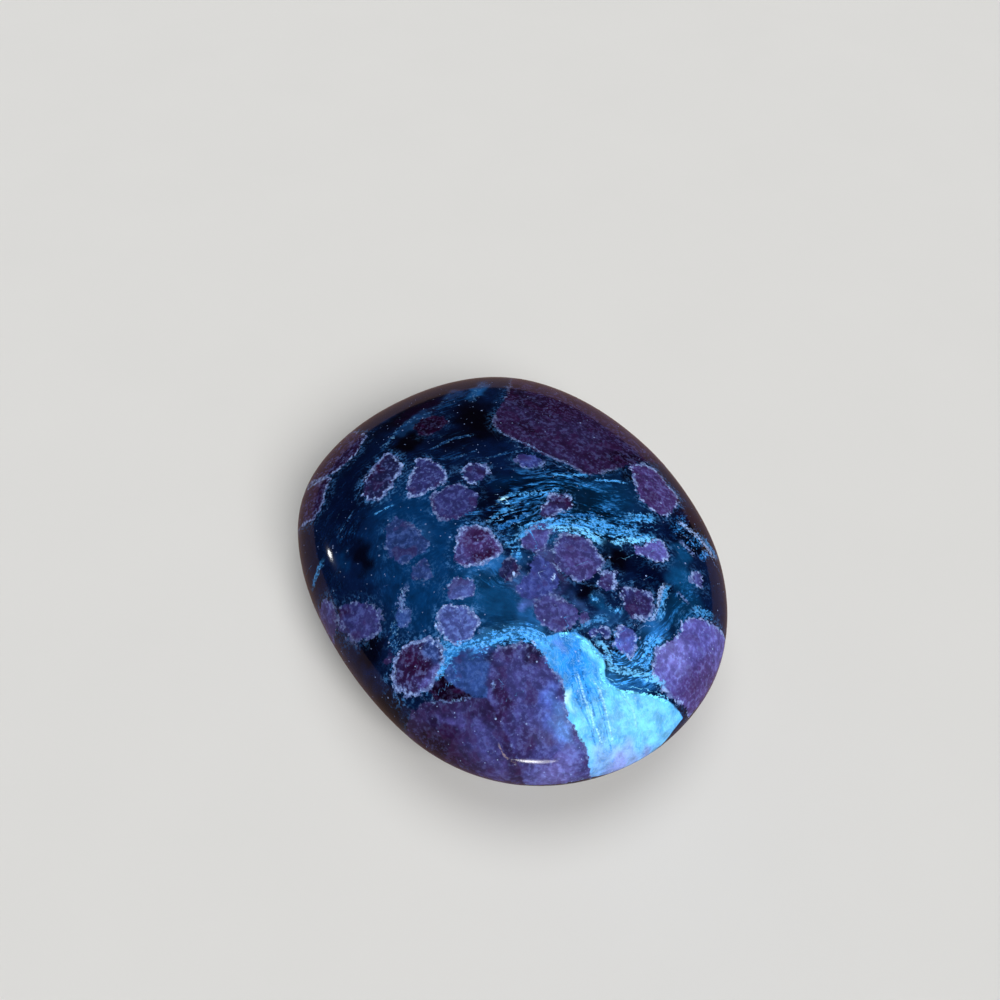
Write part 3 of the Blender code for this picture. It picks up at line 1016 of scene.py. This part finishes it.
def grain_layer(graph, where, grit):
    """(depth, cover, colour) of the garnets, mottled and flecked. Their edges are a little ragged."""
    crumb = graph.noise(where, 3.0, 3.0, 0.6)
    lump = graph.noise(where, 0.9, 2.0)
    wobble = graph.add(graph.spread(crumb, -0.45, 0.45), graph.spread(lump, -0.7, 0.7))
    depth = graph.add(graph.field("grain"), wobble)

    tint = graph.field("grain_tint", "Color")
    mottle = graph.step(graph.noise(where, 1.0, 5.0, 0.6), 0.32, 0.68)
    deep = graph.vector("MULTIPLY", tint, (0.78, 0.62, 0.76))
    deep = graph.scaled(deep, graph.spread(mottle, 0.65, 1.35))
    pale = graph.vector("ADD", tint, graph.scaled(linear("rim"), 0.55))
    flecked = graph.step(graph.add(graph.spread(mottle, -0.12, 0.12), grit), 0.46, 0.70)
    fleck = graph.times(flecked, graph.spread(graph.field("rim"), 0.2, 0.95))
    patch = graph.times(graph.step(graph.noise(where, 0.5, 3.0), 0.54, 0.64), 0.5)
    colour = graph.mix(patch, graph.mix(fleck, deep, pale), linear("wine"))
    return depth, graph.step(depth, -0.16, 0.14), colour


def margin_layer(graph, where, grit, depth):
    """(cover, colour) of the pale crumbs that clump along the garnets' edges."""
    rim = graph.field("rim")
    band = graph.times(graph.step(depth, -0.3, 0.0), graph.step(depth, 0.6, 0.1))
    clump = graph.add(graph.noise(where, 0.9, 2.0), graph.noise(where, 0.35, 1.0))
    crumbly = graph.add(graph.spread(grit, -0.9, 0.9), graph.add(graph.times(clump, 2.0), -2.15))
    cover = graph.add(graph.times(band, graph.spread(rim, 0.05, 0.75)), crumbly)
    cover = graph.times(graph.step(cover, 0.05, 0.35), band)
    cover = graph.times(cover, graph.spread(graph.step(rim, 0.0, 0.6), 0.0, 0.85))
    return cover, graph.mix(graph.step(grit, 0.46, 0.64), linear("rim"), linear("rim_lit"))


def rock_layer(graph, where, crumb, depth):
    """(colour, combed) of the dark rock: quiet in places, combed into bright blue fibres in others, and
    frayed into pale wisps beside the garnets. The second output is the fibres' own pattern."""
    fibre = graph.field("fibre", "Vector")
    bands = graph.noise(graph.vector("MULTIPLY", fibre, (0.14, 0.75, 0.75)), 1.0, 2.0, 0.5)
    lines = graph.noise(graph.vector("MULTIPLY", fibre, (0.40, 3.4, 3.4)), 1.0, 3.0, 0.6)
    hairs = graph.noise(graph.vector("MULTIPLY", fibre, (0.9, 8.0, 8.0)), 1.0, 2.0, 0.5)
    combed = graph.add(graph.spread(lines, -0.35, 0.35), graph.spread(hairs, -0.2, 0.2))
    banded = graph.add(combed, graph.spread(bands, -0.35, 0.35))
    base = graph.field("rock", "Color")
    fibrous = graph.field("fibrous")

    cloud = graph.spread(graph.noise(where, 0.7, 5.0, 0.6), 0.2, 1.8)
    quiet = graph.scaled(base, graph.times(cloud, graph.spread(lines, 0.7, 1.3)))
    threads = graph.times(graph.step(banded, 0.10, 0.24), graph.spread(fibrous, 0.0, 0.8))
    quiet = graph.mix(threads, quiet, linear("steel"))
    hair = graph.spread(graph.step(graph.add(hairs, crumb), 0.80, 1.20), 0.22, 1.40)
    lit = graph.mix(graph.times(fibrous, fibrous), linear("blue"), linear("cyan"))
    lit = graph.scaled(graph.mix(graph.step(banded, 0.04, 0.24), graph.scaled(base, 1.5), lit), hair)
    streaked = graph.mix(graph.step(banded, -0.05, 0.10), graph.scaled(base, 0.16), lit)
    colour = graph.mix(graph.step(fibrous, 0.0, 0.85), quiet, streaked)

    beside_grain = graph.step(depth, -1.7, -0.1)
    wide = graph.step(graph.noise(where, 0.7, 2.0), 0.38, 0.56)
    frayed = graph.add(crumb, graph.times(combed, 0.5))
    wisp = graph.times(wide, beside_grain)
    wisp = graph.times(graph.step(frayed, 0.46, 0.62), wisp)
    wisp = graph.times(wisp, graph.spread(graph.field("rim"), 0.1, 0.9))
    pale = graph.scaled(graph.mix(0.65, linear("rim"), linear("cyan")), 0.8)
    return graph.mix(wisp, colour, pale), combed


def strand_layer(graph, crumb, combed, wedge):
    """(cover, colour) of the strands, frayed by the same fibres as the rock, but smooth in the wedge."""
    parts = graph.node("ShaderNodeSeparateXYZ")
    graph.feed(parts.inputs[0], graph.field("strand", "Vector"))
    body = graph.maths("SUBTRACT", 1.0, graph.maths("ABSOLUTE", parts.outputs["X"]))
    ragged = graph.add(graph.spread(crumb, -2.4, 2.4), graph.times(combed, 4.0))
    frayed = graph.add(body, graph.times(ragged, graph.spread(wedge, 1.0, 0.2)))
    cover = graph.times(graph.step(frayed, 0.0, 0.7), graph.step(body, -1.0, 0.3))
    cover = graph.maths("MINIMUM", graph.times(cover, parts.outputs["Y"]), 1.0)
    shade = graph.add(graph.spread(crumb, -0.5, 0.5), graph.times(combed, 0.9))
    shade = graph.spread(graph.step(shade, -0.14, 0.14), 0.4, 1.35)
    colour = graph.scaled(graph.field("strand_tint", "Color"), shade)
    crumbs = graph.times(graph.step(crumb, 0.54, 0.70), 0.5)
    return cover, graph.mix(crumbs, colour, linear("frost"))


def wedge_layer(graph, where):
    """(cover, colour) of the pale feldspar wedge, with fine wrinkles."""
    wobble = graph.spread(graph.noise(where, 0.8, 1.0), -0.3, 0.3)
    depth = graph.add(graph.field("wedge"), wobble)
    cover = graph.step(depth, -0.08, 0.2)
    cloud = graph.noise(where, 0.5, 4.0, 0.6)
    shade = graph.spread(graph.step(cloud, 0.3, 0.7), 0.62, 1.3)
    colour = graph.scaled(graph.field("wedge_tint", "Color"), shade)
    warped = graph.vector("ADD", where, graph.scaled(graph.noise(where, 0.45, 2.0), 4.0))
    wrinkle = graph.noise(graph.vector("MULTIPLY", warped, (0.5, 2.4, 1.2)), 1.0, 3.0, 0.6)
    crease = graph.maths("ABSOLUTE", graph.spread(wrinkle, -1.0, 1.0))
    ridge = graph.times(graph.step(crease, 0.09, 0.0), 0.25)
    furrow = graph.times(graph.step(wrinkle, 0.44, 0.34), 0.35)
    colour = graph.mix(ridge, colour, linear("frost"))
    return cover, graph.mix(furrow, colour, linear("azure"))


def dust_layer(graph, where):
    """How much each place is covered by specks and filled pits, a fraction of a millimetre across."""
    total = None
    for scale, size, rarity in DUST:
        cells = graph.node("ShaderNodeTexVoronoi")
        graph.feed(cells.inputs["Vector"], where)
        graph.feed(cells.inputs["Scale"], scale)
        chosen = graph.step(cells.outputs["Color"], rarity, rarity + 0.35)
        speck = graph.times(graph.step(cells.outputs["Distance"], size, 0.5 * size), chosen)
        total = speck if total is None else graph.maths("MAXIMUM", total, speck)
    return total


def polished_relief(graph, where, rim, dust):
    """The normal of the polish, with its crumbs and specks a hair lower."""
    height = graph.add(graph.times(rim, -0.5), graph.times(dust, -1.0))
    height = graph.add(height, graph.spread(graph.noise(where, 1.8, 4.0), -0.25, 0.25))
    bump = graph.node("ShaderNodeBump")
    graph.feed(bump.inputs["Strength"], RELIEF_STRENGTH)
    graph.feed(bump.inputs["Distance"], RELIEF_HEIGHT)
    graph.feed(bump.inputs["Height"], height)
    return bump.outputs["Normal"]


def new_material(name):
    """A material, and the graph to build it with."""
    material = bpy.data.materials.new(name)
    material.use_nodes = True
    return material, Graph(material.node_tree)


def polished_garnet_rock():
    """All the layers, one over another, under one polish."""
    material, graph = new_material("polished_garnet_rock")
    where = graph.scaled(graph.node("ShaderNodeTexCoord").outputs["Object"], 1 / MM)
    grit = graph.noise(where, 2.1, 2.0, 0.6)
    crumb = graph.noise(where, 2.6, 3.0, 0.7)
    depth, grain, grain_colour = grain_layer(graph, where, grit)
    rim, rim_colour = margin_layer(graph, where, grit, depth)
    colour, combed = rock_layer(graph, where, crumb, depth)
    wedge, wedge_colour = wedge_layer(graph, where)
    strand, strand_colour = strand_layer(graph, crumb, combed, wedge)
    dust = dust_layer(graph, where)
    colour = graph.mix(wedge, colour, wedge_colour)
    colour = graph.mix(grain, colour, grain_colour)
    colour = graph.mix(rim, colour, rim_colour)
    colour = graph.mix(strand, colour, strand_colour)
    colour = graph.mix(graph.times(dust, 0.7), colour, linear("rim_lit"))

    haze = graph.spread(graph.noise(where, 0.25, 3.0), 0.05, 0.11)
    roughness = graph.add(haze, graph.times(rim, 0.06))
    shader = graph.node("ShaderNodeBsdfPrincipled")
    graph.feed(shader.inputs["Base Color"], graph.scaled(colour, LIFT))
    graph.feed(shader.inputs["Roughness"], graph.add(roughness, graph.times(dust, 0.3)))
    graph.feed(shader.inputs["Normal"], polished_relief(graph, where, rim, dust))
    graph.feed(shader.inputs["IOR"], POLISH_IOR)
    graph.feed(shader.inputs["Specular IOR Level"], POLISH_SHINE)
    graph.finish("ShaderNodeOutputMaterial", shader.outputs["BSDF"])
    return material


# The stone, the stage, the light and the camera.


def placed(name, data):
    """A new object in the scene."""
    made = bpy.data.objects.new(name, data)
    bpy.context.scene.collection.objects.link(made)
    return made


def build_stone():
    """The fine stone, which fills the CAD solid's box. Its fields are those of the even pebble."""
    mesh = cube_of_squares()
    low, high = (np.array(corner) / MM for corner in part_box(NODE))
    points = fitted(pebble(points_of(mesh)), low, high)
    found = fields(points)
    mesh.vertices.foreach_set("co", (points * MM).ravel())
    mesh.update()
    normals = np.empty(len(mesh.vertices) * 3)
    mesh.vertices.foreach_get("normal", normals)
    lift = SWELL_HEIGHT * swells(points) + PROUD_HEIGHT * smoothstep(found["grain"], -0.2, 0.5)
    # The foot stays flat.
    lift *= smoothstep(points[:, 2], 0.0, 1.5)
    points = fitted(points + normals.reshape(-1, 3) * lift[:, None], low, high)
    mesh.vertices.foreach_set("co", (points * MM).ravel())
    for name, values in found.items():
        store(mesh, name, values)
    mesh.shade_smooth()
    mesh.materials.append(polished_garnet_rock())
    stone = placed("polished_stone", mesh)
    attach(stone, "root")
    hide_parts(NODE)


FLOOR_SIZE = 6.0
FLOOR_TONE = (0.80, 0.79, 0.77)

# The polish mirrors the floor as if it were the brown table of the photo.
MIRRORED_TONE = (0.24, 0.15, 0.12)


def pale_floor():
    """Matt and a little cloudy, and brown where the polish mirrors it."""
    material, graph = new_material("pale_floor")
    cloud = graph.noise(graph.node("ShaderNodeTexCoord").outputs["Object"], 40.0, 3.0)
    darker = tuple(0.97 * part for part in FLOOR_TONE)
    mirrored = graph.node("ShaderNodeLightPath").outputs["Is Glossy Ray"]
    shader = graph.node("ShaderNodeBsdfPrincipled")
    colour = graph.mix(mirrored, graph.mix(cloud, darker, FLOOR_TONE), MIRRORED_TONE)
    graph.feed(shader.inputs["Base Color"], colour)
    graph.feed(shader.inputs["Roughness"], 0.9)
    graph.feed(shader.inputs["Specular IOR Level"], 0.0)
    graph.finish("ShaderNodeOutputMaterial", shader.outputs["BSDF"])
    return material


def build_floor():
    """A plain pale floor, far larger than the view."""
    work = bmesh.new()
    bmesh.ops.create_grid(work, x_segments=1, y_segments=1, size=FLOOR_SIZE / 2)
    floor = placed("floor", finished(work, "floor"))
    floor.data.materials.append(pale_floor())


# The camera, as the stone was seen: from beyond its +X end, well above it.
AZIMUTH = 65.2
TILT = 49.4
ROLL = 1.8
LENS = 35.1
SENSOR_WIDTH = 36.0
NEAREST = 5 * MM
AIM = Vector((-9.8, 2.5, 12.0)) * MM
DISTANCE = 145.4 * MM


def build_camera():
    data = bpy.data.cameras.new("camera")
    data.lens = LENS
    data.sensor_width = SENSOR_WIDTH
    data.clip_start = NEAREST
    camera = placed("camera", data)
    turn = Euler((math.radians(90 - TILT), 0.0, math.radians(AZIMUTH))).to_matrix()
    turn = turn @ Matrix.Rotation(math.radians(ROLL), 3, "Z")
    camera.matrix_world = Matrix.Translation(AIM + turn.col[2] * DISTANCE) @ turn.to_4x4()
    bpy.context.scene.camera = camera


# The studio: a dim room with a pale backdrop and one soft glow that the polish mirrors, two soft
# lamps that it doesn't mirror, as if they were cross-polarised, and three small oval panels that
# are only seen mirrored. Two of them overlap in the highlight at the stone's near end, and the
# third makes the spot at its left. Headings and heights are in degrees, headings from +X,
# anticlockwise from above.
ROOM_LEVEL = (0.012, 0.013, 0.016)
BACKDROP = (0.66, 0.65, 0.63)
GLOW_HEADING = 8.0
GLOW_HEIGHT = 38.0
GLOW_WIDTH = 12.0
GLOW_SOFTNESS = 18.0
GLOW_COLOUR = (0.55, 0.58, 0.64)

# A far, soft lamp: where it is, how wide it looks in degrees, how strong it is, its colour.
Lamp = namedtuple("Lamp", "heading height width strength colour")

LAMPS = (
    Lamp(0.0, 42.0, 33.0, 2.5, (1.0, 0.99, 0.97)),
    Lamp(150.0, 80.0, 43.0, 1.0, (0.97, 0.99, 1.0)),
)

# A small oval panel: where it is, its width and height in metres, and its power.
Strip = namedtuple("Strip", "heading height wide tall watts")

STRIP_DISTANCE = 0.7
STRIPS = (
    Strip(-22.0, 5.0, 0.26, 0.08, 0.45),
    Strip(-24.0, 5.0, 0.14, 0.035, 0.3),
    Strip(-131.0, 17.0, 0.03, 0.03, 0.08),
)


def towards(heading, height):
    """The direction from the stone to a place in the studio."""
    turn = math.radians(heading)
    rise = math.radians(height)
    return Vector((math.cos(turn) * math.cos(rise), math.sin(turn) * math.cos(rise), math.sin(rise)))


def build_room():
    """The dim room and its glow, with a plain pale backdrop behind the floor."""
    world = bpy.data.worlds.new("studio")
    bpy.context.scene.world = world
    world.use_nodes = True
    graph = Graph(world.node_tree)
    around = graph.node("ShaderNodeTexCoord").outputs["Generated"]
    facing = graph.vector("NORMALIZE", around, (0, 0, 0))
    lined_up = graph.vector("DOT_PRODUCT", facing, tuple(towards(GLOW_HEADING, GLOW_HEIGHT)))
    edge = math.cos(math.radians(GLOW_WIDTH + GLOW_SOFTNESS))
    share = graph.step(lined_up, edge, math.cos(math.radians(GLOW_WIDTH)))
    light = graph.mix(share, ROOM_LEVEL, GLOW_COLOUR)
    seen = graph.node("ShaderNodeLightPath").outputs["Is Camera Ray"]
    background = graph.node("ShaderNodeBackground")
    graph.feed(background.inputs["Color"], graph.mix(seen, light, BACKDROP))
    graph.finish("ShaderNodeOutputWorld", background.outputs["Background"])


def place_light(data, heading, height, distance):
    """A light that looks at the stone from afar."""
    light = placed(data.name, data)
    way = towards(heading, height)
    light.location = way * distance
    light.rotation_euler = way.to_track_quat("Z", "Y").to_euler()
    light.visible_camera = False
    return light


def build_lamps():
    for number, lamp in enumerate(LAMPS):
        data = bpy.data.lights.new(f"lamp_{number + 1}", "SUN")
        data.angle = math.radians(lamp.width)
        data.energy = lamp.strength
        data.color = lamp.colour
        light = place_light(data, lamp.heading, lamp.height, 1.0)
        light.visible_glossy = False


def build_strips():
    for number, strip in enumerate(STRIPS):
        data = bpy.data.lights.new(f"strip_{number + 1}", "AREA")
        data.shape = "ELLIPSE"
        data.size = strip.wide
        data.size_y = strip.tall
        data.energy = strip.watts
        light = place_light(data, strip.heading, strip.height, STRIP_DISTANCE)
        light.visible_diffuse = False


def main():
    build_stone()
    build_floor()
    build_room()
    build_lamps()
    build_strips()
    build_camera()
    bpy.context.scene.view_settings.view_transform = "Standard"


main()
